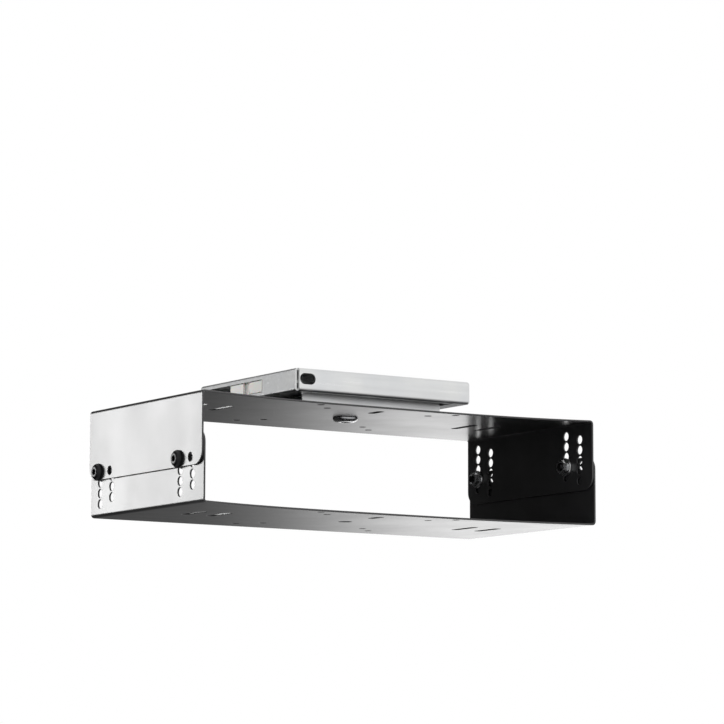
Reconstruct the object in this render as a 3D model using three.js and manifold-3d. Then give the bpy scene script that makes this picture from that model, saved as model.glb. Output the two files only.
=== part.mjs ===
// Hanging cpu holder: a zinc-plated mount with a flat top face, a short slide, a pivot,
// and a black cradle of two identical steel channels with an open bay between them.
// Millimetres, +X to the right, +Y away from the user, +Z up.
// The origin is the centre of the mount's top face, so the rest hangs below Z = 0.

import * as THREE from 'three'
import { mergeVertices } from 'three/addons/utils/BufferGeometryUtils.js'
import Module from 'manifold-3d'

const wasm = await Module()
wasm.setup()

// Cradle: two channels, one turned over, whose flanks overlap at the sides
const cradle_width = 290
const cradle_depth = 138
const cradle_sheet = 1.2
const cradle_bend_radius = 2.2
const flank_height = 44.2
const flank_corner_radius = 8.5
const flank_gap = 0.3
const front_set_back = 14.5
const set_back_power = 3

// Rows of holes that set the height of the cradle: the outer flank has one hole in each row,
// near its free edge, and is bolted to one of the holes of the inner flank
const row_hole_diameter = 5.5
const outer_hole_margin = 5.1
const row_pitch = 6.6
const row_start = 8
const row_end_margin = 5
const row_spacing = 14.5
const front_row_inset = 13.5
const rear_row_inset = 26
const hole_in_use = 4

// Holes in the plates: two square patterns, a pivot hole and slots
const small_pattern = 75
const large_pattern = 100
const pattern_hole_diameter = 4.5
const centre_slot_length = 14
const centre_slot_offset = 35
const side_slot_length = 26
const inner_side_slot = 91.5
const outer_side_slot = 109.5
const slot_width = 5

// Screws that clamp the flanks, each with a flanged nut inside
const screw_diameter = 5
const screw_head_diameter = 10.6
const screw_head_height = 3.2
const screw_socket_width = 3
const screw_socket_depth = 1.8
const screw_tip = 1
const nut_width = 8
const nut_height = 4.7
const nut_flange_diameter = 11.8
const nut_flange_height = 1.1

// Mount housing, screwed up through its web
const housing_width = 129.6
const housing_depth = 117
const housing_height = 14.2
const housing_sheet = 1.5
const housing_bend_radius = 1.8
const lip_width = 12
const front_return_width = 5.5
const corner_relief = 1.9
const window_from_front = 40.4
const window_top_margin = 3.3
const window_height = 7.9
const window_corner_radius = 0.8
const key_hole_length = 11.1
const key_hole_height = 6.7
const key_hole_inset = 8
const key_hole_drop = 6.6
const mount_screw_hole_diameter = 5
const mount_screw_inset_x = 24
const mount_screw_inset_y = 16

// Carriage: a flat plate between two nylon glides, with a hanger channel below it
const slide_travel = 32
const glide_length = 38
const glide_notch_length = 6.8
const glide_width = 9.2
const glide_groove_depth = 7
const running_gap = 0.3
const plate_drop = 6
const plate_sheet = 2
const plate_overhang = 3
const hanger_inset = 13.8
const hanger_depth = 62
const hanger_sheet = 1.5
const hanger_bend_radius = 2.3
const hanger_flange_width = 12
const hanger_from_front = 14.8
const mount_to_cradle = 21.3
const rivet_diameter = 4
const rivet_head_diameter = 8
const rivet_head_height = 1.4
const rivet_tail_diameter = 6.4
const rivet_tail_height = 1
const rivet_inset = 12
const rivet_gap = 0.2

// Pivot that the cradle turns on
const pivot_diameter = 8
const pivot_head_diameter = 16
const pivot_head_height = 3
const pivot_socket_width = 5
const pivot_socket_depth = 1.8
const pivot_gap = 0.3
const thrust_washer_diameter = 44
const thrust_washer_height = 1.2
const steel_washer_diameter = 16
const steel_washer_height = 1.6
const pivot_nut_width = 13
const pivot_nut_height = 5
const pivot_nut_chamfer = 0.8
const pivot_tip = 0.8
const access_hole_diameter = 25
const thread_gap = 0.15

// Roundness and the overrun of every cut
const small_hole_sides = 20
const large_round_sides = 32
const bend_steps = 5
const set_back_steps = 28
const cut_over = 2

// Places worked out from the sizes above
const half_width = cradle_width / 2
const half_depth = cradle_depth / 2
const screw_from_web = flank_height - outer_hole_margin
const cradle_height = screw_from_web + row_start + (hole_in_use - 1) * row_pitch
const hanger_width = housing_width - 2 * hanger_inset
const housing_front = -housing_depth / 2
const carriage_y = housing_front + hanger_from_front + hanger_depth / 2
const cradle_top = -mount_to_cradle
const cradle_bottom = cradle_top - cradle_height
const cradle_middle = (cradle_top + cradle_bottom) / 2
const hanger_bottom = cradle_top + thrust_washer_height
const hanger_web_top = hanger_bottom + hanger_sheet
const plate_top = -plate_drop
const plate_bottom = plate_top - plate_sheet
const glide_front = housing_front + window_from_front + running_gap
const glide_middle = glide_front + glide_length / 2
const lip_top = -housing_height + housing_sheet
const rail_half_width = housing_width / 2 - housing_sheet - running_gap

// Finishes
const black_coat = new THREE.MeshStandardMaterial({ color: 0x1b1c1e, roughness: 0.42, metalness: 0.15 })
const zinc_plate = new THREE.MeshStandardMaterial({ color: 0xb9bcbd, roughness: 0.34, metalness: 0.9 })
const zinc_screw = new THREE.MeshStandardMaterial({ color: 0xa9acae, roughness: 0.3, metalness: 0.95 })
const black_screw = new THREE.MeshStandardMaterial({ color: 0x151516, roughness: 0.38, metalness: 0.6 })
const white_nylon = new THREE.MeshStandardMaterial({ color: 0xe9e8e2, roughness: 0.5, metalness: 0 })

// A closed geometry as a solid, and back
function toSolid(geometry) {
  const bare = geometry.clone()
  bare.deleteAttribute('normal')
  bare.deleteAttribute('uv')
  const merged = mergeVertices(bare)
  const mesh = new wasm.Mesh({
    numProp: 3,
    vertProperties: merged.attributes.position.array,
    triVerts: Uint32Array.from(merged.index.array),
  })
  return new wasm.Manifold(mesh)
}

function toGeometry(solid) {
  const mesh = solid.getMesh()
  const geometry = new THREE.BufferGeometry()
  geometry.setAttribute('position', new THREE.BufferAttribute(mesh.vertProperties, 3))
  geometry.setIndex(new THREE.BufferAttribute(mesh.triVerts, 1))
  geometry.computeVertexNormals()
  return geometry
}

// Axes that an outline (a, b) and its length are laid along
const frames = {
  // outline in X and Y, length along Z
  z: new THREE.Matrix4(),
  // outline in X and Z, length along Y
  y: new THREE.Matrix4().makeBasis(
    new THREE.Vector3(1, 0, 0),
    new THREE.Vector3(0, 0, 1),
    new THREE.Vector3(0, -1, 0),
  ),
  // outline in Y and Z, length along X
  x: new THREE.Matrix4().makeBasis(
    new THREE.Vector3(0, 1, 0),
    new THREE.Vector3(0, 0, 1),
    new THREE.Vector3(1, 0, 0),
  ),
}

// An outline carried along an axis from one place to another
function prism(shape, axis, from, to) {
  const geometry = new THREE.ExtrudeGeometry(shape, { depth: to - from, bevelEnabled: false })
  if (axis === 'y') {
    geometry.translate(0, 0, -to)
  } else {
    geometry.translate(0, 0, from)
  }
  geometry.applyMatrix4(frames[axis])
  return toSolid(geometry)
}

function box(x, y, z) {
  const geometry = new THREE.BoxGeometry(x[1] - x[0], y[1] - y[0], z[1] - z[0])
  geometry.translate((x[0] + x[1]) / 2, (y[0] + y[1]) / 2, (z[0] + z[1]) / 2)
  return toSolid(geometry)
}

// A round outline with a flat number of sides
function circle(a, b, radius, sides = small_hole_sides) {
  const points = []
  for (let i = 0; i < sides; i += 1) {
    const angle = (2 * Math.PI * i) / sides
    points.push(new THREE.Vector2(a + radius * Math.cos(angle), b + radius * Math.sin(angle)))
  }
  return new THREE.Shape(points)
}

function hexagon(a, b, across_flats) {
  return circle(a, b, across_flats / Math.sqrt(3), 6)
}

// A slot with round ends, its length along the first or the second axis
function slot(a, b, length, width, along = 'a') {
  const reach = (length - width) / 2
  const half_turn = small_hole_sides / 2
  const points = []
  for (const side of [1, -1]) {
    for (let i = 0; i <= half_turn; i += 1) {
      const angle = (Math.PI * i) / half_turn - Math.PI / 2
      const u = side * (reach + (width / 2) * Math.cos(angle))
      const v = side * (width / 2) * Math.sin(angle)
      points.push(along === 'a' ? new THREE.Vector2(a + u, b + v) : new THREE.Vector2(a - v, b + u))
    }
  }
  return new THREE.Shape(points)
}

// A rectangle with rounded corners, from its lowest to its highest corner
function roundedRectangle(a, b, radius, steps = bend_steps) {
  const centres = [
    [a[1] - radius, b[1] - radius],
    [a[0] + radius, b[1] - radius],
    [a[0] + radius, b[0] + radius],
    [a[1] - radius, b[0] + radius],
  ]
  const points = []
  centres.forEach(([ca, cb], corner) => {
    for (let i = 0; i <= steps; i += 1) {
      const angle = (Math.PI / 2) * (corner + i / steps)
      points.push(new THREE.Vector2(ca + radius * Math.cos(angle), cb + radius * Math.sin(angle)))
    }
  })
  return new THREE.Shape(points)
}

// The outline of a bent sheet: a chain of corners on its outer face, each turned with the bend
// radius, and the same chain one sheet further in, each corner with the radius less the sheet.
// The sheet lies to the left of the chain.
function bentSheet(corners, sheet, bend_radius) {
  const outer = []
  const inner = []
  const last = corners.length - 1
  corners.forEach(([a, b], i) => {
    const here = new THREE.Vector2(a, b)
    const before = i > 0 ? new THREE.Vector2(...corners[i - 1]) : null
    const after = i < last ? new THREE.Vector2(...corners[i + 1]) : null
    if (before === null || after === null) {
      const along = before === null ? after.clone().sub(here) : here.clone().sub(before)
      along.normalize()
      const left = new THREE.Vector2(-along.y, along.x)
      outer.push(here.clone())
      inner.push(here.clone().addScaledVector(left, sheet))
      return
    }
    const arriving = here.clone().sub(before).normalize()
    const leaving = after.clone().sub(here).normalize()
    const left = new THREE.Vector2(-arriving.y, arriving.x)
    const turns_left = Math.sign(arriving.cross(leaving))
    const outer_radius = turns_left > 0 ? bend_radius : bend_radius - sheet
    const inner_radius = turns_left > 0 ? bend_radius - sheet : bend_radius
    const start = here.clone().addScaledVector(arriving, -outer_radius)
    const centre = start.clone().addScaledVector(left, turns_left * outer_radius)
    for (let k = 0; k <= bend_steps; k += 1) {
      const angle = (turns_left * Math.PI * k) / (2 * bend_steps)
      const spoke = left.clone().multiplyScalar(-turns_left).rotateAround(new THREE.Vector2(), angle)
      outer.push(centre.clone().addScaledVector(spoke, outer_radius))
      inner.push(centre.clone().addScaledVector(spoke, inner_radius))
    }
  })
  return new THREE.Shape([...outer, ...inner.reverse()])
}

// A turned piece: its outline runs from the axis out and back to it, as [radius, height]
function turned(profile, sides = small_hole_sides) {
  const points = profile.map(([radius, height]) => new THREE.Vector2(radius, height))
  const geometry = new THREE.LatheGeometry(points, sides)
  geometry.rotateX(Math.PI / 2)
  return toSolid(geometry)
}

// A flat washer on the Z axis
function washer(diameter, hole_radius, bottom, top) {
  const disc = prism(circle(0, 0, diameter / 2, large_round_sides), 'z', bottom, top)
  const hole = circle(0, 0, hole_radius, large_round_sides)
  return disc.subtract(prism(hole, 'z', bottom - cut_over, top + cut_over))
}

const holder = new THREE.Group()

function addPiece(parent, name, solid, material) {
  const mesh = new THREE.Mesh(toGeometry(solid), material)
  mesh.name = name
  parent.add(mesh)
  return mesh
}

// Cradle channel: built as the upper one, in the cradle's own middle, its front at the low Y.
// The left flank is the outer one and carries the screws; the right one has the rows of holes.
const flank_rows = [
  -half_depth + front_row_inset,
  -half_depth + front_row_inset + row_spacing,
  half_depth - rear_row_inset,
  half_depth - rear_row_inset + row_spacing,
]
const screw_rows = [flank_rows[1], flank_rows[3]]
const channel_right = half_width - cradle_sheet - flank_gap

function rowHeights(start) {
  const room = flank_height - row_end_margin - start
  const count = Math.floor(room / row_pitch) + 1
  return Array.from({ length: count }, (_, i) => start + i * row_pitch)
}

function channelSection() {
  const top = cradle_height / 2
  const low = top - flank_height
  const corners = [
    [channel_right, low],
    [channel_right, top],
    [-half_width, top],
    [-half_width, low],
  ]
  return prism(bentSheet(corners, cradle_sheet, cradle_bend_radius), 'y', -half_depth, half_depth)
}

// Only the free corners of the flanks are round, so the other two lie above the channel
function flankOutline() {
  const top = cradle_height / 2
  const outline = roundedRectangle(
    [-half_depth, half_depth],
    [top - flank_height, top + flank_corner_radius + cut_over],
    flank_corner_radius,
  )
  return prism(outline, 'x', -half_width - cut_over, half_width + cut_over)
}

// The plate's front edge is set back along a curve that fades out at the two corners
function setBackCut() {
  const points = [new THREE.Vector2(half_width, -half_depth - cut_over)]
  for (let i = 0; i <= set_back_steps; i += 1) {
    const share = 1 - (2 * i) / set_back_steps
    const depth = front_set_back * (1 - Math.abs(share) ** set_back_power)
    points.push(new THREE.Vector2(share * half_width, -half_depth + depth))
  }
  points.push(new THREE.Vector2(-half_width, -half_depth - cut_over))
  const top = cradle_height / 2
  return prism(new THREE.Shape(points), 'z', top - cradle_sheet - cut_over, top + cut_over)
}

function flankHoles() {
  const top = cradle_height / 2
  const radius = row_hole_diameter / 2
  const cuts = []
  for (const row of flank_rows) {
    cuts.push(prism(circle(row, top - screw_from_web, radius), 'x', -half_width - cut_over,
      -half_width + cradle_sheet + cut_over))
  }
  flank_rows.forEach((row, i) => {
    const start = i % 2 === 1 ? row_start : row_start + row_pitch / 2
    for (const height of rowHeights(start)) {
      cuts.push(prism(circle(row, top - height, radius), 'x', channel_right - cradle_sheet - cut_over,
        channel_right + cut_over))
    }
  })
  return cuts
}

function plateHoles() {
  const low = cradle_height / 2 - cradle_sheet - cut_over
  const high = cradle_height / 2 + cut_over
  const cuts = []
  for (const pattern of [small_pattern, large_pattern]) {
    for (const side_x of [-1, 1]) {
      for (const side_y of [-1, 1]) {
        const hole = circle((side_x * pattern) / 2, (side_y * pattern) / 2, pattern_hole_diameter / 2)
        cuts.push(prism(hole, 'z', low, high))
      }
    }
  }
  const pivot_hole = circle(0, 0, pivot_diameter / 2 + pivot_gap, large_round_sides)
  cuts.push(prism(pivot_hole, 'z', low, high))
  cuts.push(prism(slot(0, -centre_slot_offset, centre_slot_length, slot_width, 'b'), 'z', low, high))
  for (const side of [-1, 1]) {
    for (const place of [inner_side_slot, outer_side_slot]) {
      cuts.push(prism(slot(side * place, 0, side_slot_length, slot_width, 'b'), 'z', low, high))
    }
  }
  return cuts
}

function cradleChannel() {
  let channel = channelSection().intersect(flankOutline()).subtract(setBackCut())
  for (const cut of [...flankHoles(), ...plateHoles()]) {
    channel = channel.subtract(cut)
  }
  return channel
}

// Clamp screw: a low domed head with a hex socket, its axis along Z, the seat of the head at zero
function clampScrew(grip) {
  const head = screw_head_diameter / 2
  const shank = screw_diameter / 2
  const length = grip + nut_height + screw_tip
  const chamfer = screw_tip / 2
  const profile = [
    [0, -length],
    [shank - chamfer, -length],
    [shank, -length + chamfer],
    [shank, 0],
    [head, 0],
  ]
  for (let i = 1; i <= bend_steps; i += 1) {
    const angle = (Math.PI * i) / (2 * bend_steps)
    const rim = head - screw_head_height * (1 - Math.cos(angle))
    profile.push([rim, screw_head_height * Math.sin(angle)])
  }
  profile.push([0, screw_head_height])
  const socket = prism(hexagon(0, 0, screw_socket_width), 'z', screw_head_height - screw_socket_depth,
    screw_head_height + cut_over)
  return turned(profile).subtract(socket)
}

// Flanged nut: its flange seat at zero, its hexagon below it
function flangedNut() {
  const flange = turned([
    [0, -nut_flange_height],
    [nut_width / 2, -nut_flange_height],
    [nut_flange_diameter / 2, -nut_flange_height / 2],
    [nut_flange_diameter / 2, 0],
    [0, 0],
  ])
  const hex = prism(hexagon(0, 0, nut_width), 'z', -nut_height, -nut_flange_height / 2)
  const bore_radius = screw_diameter / 2 + thread_gap
  const bore = prism(circle(0, 0, bore_radius), 'z', -nut_height - cut_over, cut_over)
  return flange.add(hex).subtract(bore)
}

// The cradle hangs in a group at its own middle, and turns about the pivot
const cradle = new THREE.Group()
cradle.position.set(0, carriage_y, cradle_middle)
holder.add(cradle)

const channel_solid = cradleChannel()
addPiece(cradle, 'upper_channel', channel_solid, black_coat)
const turned_over = new THREE.Group()
turned_over.rotation.y = Math.PI
cradle.add(turned_over)
addPiece(turned_over, 'lower_channel', channel_solid, black_coat)

const flank_grip = 2 * cradle_sheet + flank_gap
const clamp_screw_solid = clampScrew(flank_grip)
const flanged_nut_solid = flangedNut()
const screw_height = cradle_height / 2 - screw_from_web
for (const [side, parent] of [['left', cradle], ['right', turned_over]]) {
  screw_rows.forEach((row, i) => {
    const end = i === 0 ? 'front' : 'rear'
    const place = new THREE.Group()
    place.position.set(-half_width, row, screw_height)
    place.rotation.y = -Math.PI / 2
    parent.add(place)
    addPiece(place, `clamp_screw_${side}_${end}`, clamp_screw_solid, black_screw)
    const nut = addPiece(place, `clamp_nut_${side}_${end}`, flanged_nut_solid, zinc_screw)
    nut.position.z = -flank_grip
  })
}

// Mount housing: folded from one sheet, its web the flat top face. Its side walls end in lips
// that the glides run on, its front wall in a narrow return between the lips.
function housingAcross() {
  const half = housing_width / 2
  const corners = [
    [half - lip_width, -housing_height],
    [half, -housing_height],
    [half, 0],
    [-half, 0],
    [-half, -housing_height],
    [-half + lip_width, -housing_height],
  ]
  const reach = housing_depth / 2 - corner_relief
  return prism(bentSheet(corners, housing_sheet, housing_bend_radius), 'y', -reach, reach)
}

function housingAlong() {
  const half = housing_depth / 2
  const corners = [
    [half, -housing_height],
    [half, 0],
    [-half, 0],
    [-half, -housing_height],
    [-half + front_return_width, -housing_height],
  ]
  const reach = housing_width / 2 - corner_relief
  const section = bentSheet(corners, housing_sheet, housing_bend_radius)
  const return_reach = housing_width / 2 - lip_width - corner_relief
  const lips = [-1, 1].map((side) => {
    const x = [side * return_reach, side * (reach + cut_over)].sort((p, q) => p - q)
    const y = [-half + housing_bend_radius, -half + front_return_width + cut_over]
    return box(x, y, [-housing_height - cut_over, lip_top + cut_over])
  })
  return prism(section, 'x', -reach, reach).subtract(lips[0]).subtract(lips[1])
}

function housing() {
  let solid = housingAcross().add(housingAlong())
  const half = housing_width / 2
  const window_front = housing_front + window_from_front
  const window_rear = window_front + glide_length + slide_travel + 2 * running_gap
  const window_outline = roundedRectangle(
    [window_front, window_rear],
    [-window_top_margin - window_height, -window_top_margin],
    window_corner_radius,
  )
  for (const side of [-1, 1]) {
    const x = [side * (half - housing_sheet - cut_over), side * (half + cut_over)].sort((p, q) => p - q)
    solid = solid.subtract(prism(window_outline, 'x', x[0], x[1]))
  }
  const key_hole = slot(-half + key_hole_inset, -key_hole_drop, key_hole_length, key_hole_height)
  solid = solid.subtract(prism(key_hole, 'y', housing_front - cut_over,
    housing_front + housing_sheet + cut_over))
  for (const side_x of [-1, 1]) {
    for (const side_y of [-1, 1]) {
      const x = side_x * (half - mount_screw_inset_x)
      const y = side_y * (housing_depth / 2 - mount_screw_inset_y)
      const hole = circle(x, y, mount_screw_hole_diameter / 2)
      solid = solid.subtract(prism(hole, 'z', -housing_sheet - cut_over, cut_over))
    }
  }
  return solid
}
addPiece(holder, 'mount_housing', housing(), zinc_plate)

// Carriage group, on the pivot's axis
const carriage = new THREE.Group()
carriage.position.set(0, carriage_y, 0)
holder.add(carriage)

const rivet_places = []
for (const side_x of [-1, 1]) {
  for (const side_y of [-1, 1]) {
    rivet_places.push([
      side_x * (hanger_width / 2 - rivet_inset),
      side_y * (hanger_depth / 2 - hanger_flange_width / 2 - hanger_sheet / 2),
      side_x < 0 ? 'left' : 'right',
      side_y < 0 ? 'front' : 'rear',
    ])
  }
}

function drillRivets(solid, low, high) {
  let drilled = solid
  for (const [x, y] of rivet_places) {
    const hole = circle(x, y, rivet_diameter / 2 + rivet_gap)
    drilled = drilled.subtract(prism(hole, 'z', low - cut_over, high + cut_over))
  }
  return drilled
}

// Slide plate: its side edges are notched for the glides, whose grooves take the notches' floors
const groove_floor = rail_half_width - (glide_width - glide_groove_depth)
const glide_local = glide_middle - carriage_y

function slidePlate() {
  const front = -hanger_depth / 2 - plate_overhang
  const rear = hanger_depth / 2 + plate_overhang
  const glide_start = glide_local - glide_length / 2
  const glide_end = glide_local + glide_length / 2
  const edge = rail_half_width - running_gap
  const notch = groove_floor - running_gap
  const points = [
    [-edge, front], [edge, front], [edge, glide_start], [notch, glide_start],
    [notch, glide_end], [edge, glide_end], [edge, rear], [-edge, rear],
    [-edge, glide_end], [-notch, glide_end], [-notch, glide_start], [-edge, glide_start],
  ].map(([x, y]) => new THREE.Vector2(x, y))
  const plate = prism(new THREE.Shape(points), 'z', plate_bottom, plate_top)
  const access = prism(circle(0, 0, access_hole_diameter / 2, large_round_sides), 'z',
    plate_bottom - cut_over, plate_top + cut_over)
  return drillRivets(plate.subtract(access), plate_bottom, plate_top)
}
addPiece(carriage, 'slide_plate', slidePlate(), zinc_plate)

// Hanger channel: its web on the pivot, its two walls up to flanges under the slide plate
function hangerChannel() {
  const half = hanger_depth / 2
  const corners = [
    [-half + hanger_flange_width, plate_bottom],
    [-half, plate_bottom],
    [-half, hanger_bottom],
    [half, hanger_bottom],
    [half, plate_bottom],
    [half - hanger_flange_width, plate_bottom],
  ]
  const section = bentSheet(corners, hanger_sheet, hanger_bend_radius)
  const channel = prism(section, 'x', -hanger_width / 2, hanger_width / 2)
  const pivot_hole = prism(circle(0, 0, pivot_diameter / 2 + pivot_gap, large_round_sides), 'z',
    hanger_bottom - cut_over, hanger_web_top + cut_over)
  return drillRivets(channel.subtract(pivot_hole), plate_bottom - hanger_sheet, plate_bottom)
}
addPiece(carriage, 'hanger_channel', hangerChannel(), zinc_plate)

// Rivets that join the hanger's flanges to the slide plate
function rivet() {
  const shank = rivet_diameter / 2
  const seat = plate_top
  const under = plate_bottom - hanger_sheet
  const profile = [
    [0, under - rivet_tail_height],
    [rivet_tail_diameter / 2, under - rivet_tail_height],
    [rivet_tail_diameter / 2, under],
    [shank, under],
    [shank, seat],
    [rivet_head_diameter / 2, seat],
  ]
  for (let i = 1; i < bend_steps; i += 1) {
    const angle = (Math.PI * i) / (2 * bend_steps)
    profile.push([(rivet_head_diameter / 2) * Math.cos(angle), seat + rivet_head_height * Math.sin(angle)])
  }
  profile.push([0, seat + rivet_head_height])
  return turned(profile)
}
const rivet_solid = rivet()
for (const [x, y, side, end] of rivet_places) {
  const piece = addPiece(carriage, `hanger_rivet_${side}_${end}`, rivet_solid, zinc_screw)
  piece.position.set(x, y, 0)
}

// Nylon glide: a block that grips the plate's edge and runs on the housing's lip, with two nibs
// that stand in the side window and stop the slide at the window's ends
function glide(side) {
  const outer = rail_half_width
  const inner = outer - glide_width
  const x = [side * inner, side * outer].sort((p, q) => p - q)
  const y = [-glide_length / 2, glide_length / 2]
  const body = box(x, y, [lip_top + running_gap, -housing_sheet - running_gap])
  const groove_x = [side * (inner - cut_over), side * groove_floor].sort((p, q) => p - q)
  const groove = box(groove_x, [y[0] - cut_over, y[1] + cut_over], [plate_bottom, plate_top])
  const notch = [-glide_notch_length / 2, glide_notch_length / 2]
  const nib_x = [side * (outer - housing_sheet), side * (outer + housing_sheet)].sort((p, q) => p - q)
  const nib_z = [-window_top_margin - window_height + running_gap, -window_top_margin - running_gap]
  const front_nib = box(nib_x, [y[0], notch[0]], nib_z)
  const rear_nib = box(nib_x, [notch[1], y[1]], nib_z)
  return body.subtract(groove).add(front_nib).add(rear_nib)
}
for (const [side, name] of [[-1, 'left'], [1, 'right']]) {
  const piece = addPiece(carriage, `glide_${name}`, glide(side), white_nylon)
  piece.position.set(0, glide_local, 0)
}

// Pivot: a low-headed bolt up through the cradle's plate, a nylon washer and the hanger's web,
// held by a washer and a lock nut inside the hanger
const plate_underside = cradle_top - cradle_sheet
const washer_top = hanger_web_top + steel_washer_height
const nut_top = washer_top + pivot_nut_height

function pivotBolt() {
  const head = pivot_head_diameter / 2
  const shank = pivot_diameter / 2
  const bottom = plate_underside - pivot_head_height
  const profile = [[0, bottom]]
  for (let i = bend_steps; i >= 1; i -= 1) {
    const angle = (Math.PI * i) / (2 * bend_steps)
    const rim = head - pivot_head_height * (1 - Math.cos(angle))
    profile.push([rim, plate_underside - pivot_head_height * Math.sin(angle)])
  }
  profile.push([head, plate_underside], [shank, plate_underside])
  profile.push([shank, nut_top], [shank - pivot_tip, nut_top + pivot_tip], [0, nut_top + pivot_tip])
  const socket = prism(hexagon(0, 0, pivot_socket_width), 'z', bottom - cut_over,
    bottom + pivot_socket_depth)
  return turned(profile, large_round_sides).subtract(socket)
}

function pivotNut() {
  const hex = prism(hexagon(0, 0, pivot_nut_width), 'z', washer_top, nut_top)
  const corner_radius = pivot_nut_width / Math.sqrt(3)
  const cone = turned([
    [0, washer_top],
    [corner_radius, washer_top],
    [corner_radius, nut_top - pivot_nut_chamfer],
    [corner_radius - pivot_nut_chamfer, nut_top],
    [0, nut_top],
  ], large_round_sides)
  const bore = prism(circle(0, 0, pivot_diameter / 2 + thread_gap, large_round_sides), 'z',
    washer_top - cut_over, nut_top + cut_over)
  return hex.intersect(cone).subtract(bore)
}

const bolt_hole_radius = pivot_diameter / 2 + pivot_gap
addPiece(carriage, 'pivot_bolt', pivotBolt(), zinc_screw)
addPiece(carriage, 'pivot_lock_nut', pivotNut(), zinc_screw)
addPiece(carriage, 'pivot_washer',
  washer(steel_washer_diameter, bolt_hole_radius, hanger_web_top, washer_top), zinc_screw)
addPiece(carriage, 'thrust_washer',
  washer(thrust_washer_diameter, bolt_hole_radius, cradle_top, hanger_bottom), white_nylon)

export default holder
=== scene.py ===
import bpy
import numpy as np
from mathutils import Matrix, Vector
from mathutils.geometry import delaunay_2d_cdt


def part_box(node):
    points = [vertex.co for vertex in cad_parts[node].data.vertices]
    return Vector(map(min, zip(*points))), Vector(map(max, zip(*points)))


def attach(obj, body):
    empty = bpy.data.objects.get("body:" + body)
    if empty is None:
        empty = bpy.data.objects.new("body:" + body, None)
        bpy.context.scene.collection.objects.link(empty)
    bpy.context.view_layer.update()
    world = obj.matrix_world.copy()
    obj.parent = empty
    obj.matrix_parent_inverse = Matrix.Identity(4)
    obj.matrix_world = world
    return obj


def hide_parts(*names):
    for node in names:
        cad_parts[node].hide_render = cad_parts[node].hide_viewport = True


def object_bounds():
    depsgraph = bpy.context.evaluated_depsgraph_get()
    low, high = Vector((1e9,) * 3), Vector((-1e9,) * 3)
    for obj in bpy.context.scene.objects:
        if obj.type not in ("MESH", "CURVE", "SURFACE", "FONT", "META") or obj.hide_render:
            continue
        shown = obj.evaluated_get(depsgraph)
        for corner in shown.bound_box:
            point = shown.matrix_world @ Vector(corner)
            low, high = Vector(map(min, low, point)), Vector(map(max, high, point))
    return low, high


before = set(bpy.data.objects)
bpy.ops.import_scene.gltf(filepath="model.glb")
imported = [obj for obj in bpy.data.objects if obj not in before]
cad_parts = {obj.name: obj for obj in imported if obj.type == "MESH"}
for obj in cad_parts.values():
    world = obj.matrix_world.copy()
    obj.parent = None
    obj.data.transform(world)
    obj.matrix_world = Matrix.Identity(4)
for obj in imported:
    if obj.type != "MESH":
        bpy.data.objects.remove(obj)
cad_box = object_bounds()
mm = 0.001

# Camera
# It stands in front, to the left and below the holder, and is tilted up a little. Its place and its
# turn come from the cradle's straight edges in the photograph, which is photo_side pixels wide.
photo_side = 724
focal_pixels = 3377.3
sensor = 36
camera_place = Vector((-1.1476, -1.7900, -0.2665))
camera_turn, camera_tilt, camera_roll = np.radians([33.133, 7.527, 0.157])

camera_data = bpy.data.cameras.new("camera")
camera_data.sensor_width = sensor
camera_data.lens = focal_pixels / photo_side * sensor
camera = bpy.data.objects.new("camera", camera_data)
bpy.context.scene.collection.objects.link(camera)
bpy.context.scene.camera = camera
forward = Vector((
    np.sin(camera_turn) * np.cos(camera_tilt),
    np.cos(camera_turn) * np.cos(camera_tilt),
    np.sin(camera_tilt),
))
level_right = Vector((np.cos(camera_turn), -np.sin(camera_turn), 0))
level_up = level_right.cross(forward)
right = level_right * np.cos(camera_roll) + level_up * np.sin(camera_roll)
up = level_up * np.cos(camera_roll) - level_right * np.sin(camera_roll)
camera.matrix_world = Matrix.Translation(camera_place) @ Matrix((right, up, -forward)).transposed().to_4x4()

# Upper and lower channel of the cradle
# Two identical folded channels of steel sheet in black powder coat, one turned over. Their flanks
# overlap at the sides, the upper one outside at the left and the lower one outside at the right.
channel_sheet = 1.2 * mm
channel_bend = 2.2 * mm
channel_edge = 0.3 * mm
flank_corner = 8.5 * mm
front_set_back = 14.5 * mm
set_back_power = 3
row_hole = 5.5 * mm
row_pitch = 6.6 * mm
row_start = 8 * mm
row_count = 5
row_spacing = 14.5 * mm
front_row_inset = 13.5 * mm
rear_row_inset = 26 * mm
outer_hole_margin = 5.1 * mm
pattern_sizes = 75 * mm, 100 * mm
pattern_hole = 4.5 * mm
pivot_hole = 8.6 * mm
centre_slot = 14 * mm
centre_slot_offset = 35 * mm
side_slot = 26 * mm
side_slot_places = 91.5 * mm, 109.5 * mm
slot_width = 5 * mm
hole_sides = 44
bend_steps = 10
corner_steps = 8
edge_steps = 4
curve_steps = 120
same_point = 0.01 * mm
on_line = 1e-9
fill_tolerance = 1e-5
fill_whole_hull = 0
noise_low, noise_high = 0.3, 0.7


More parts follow.
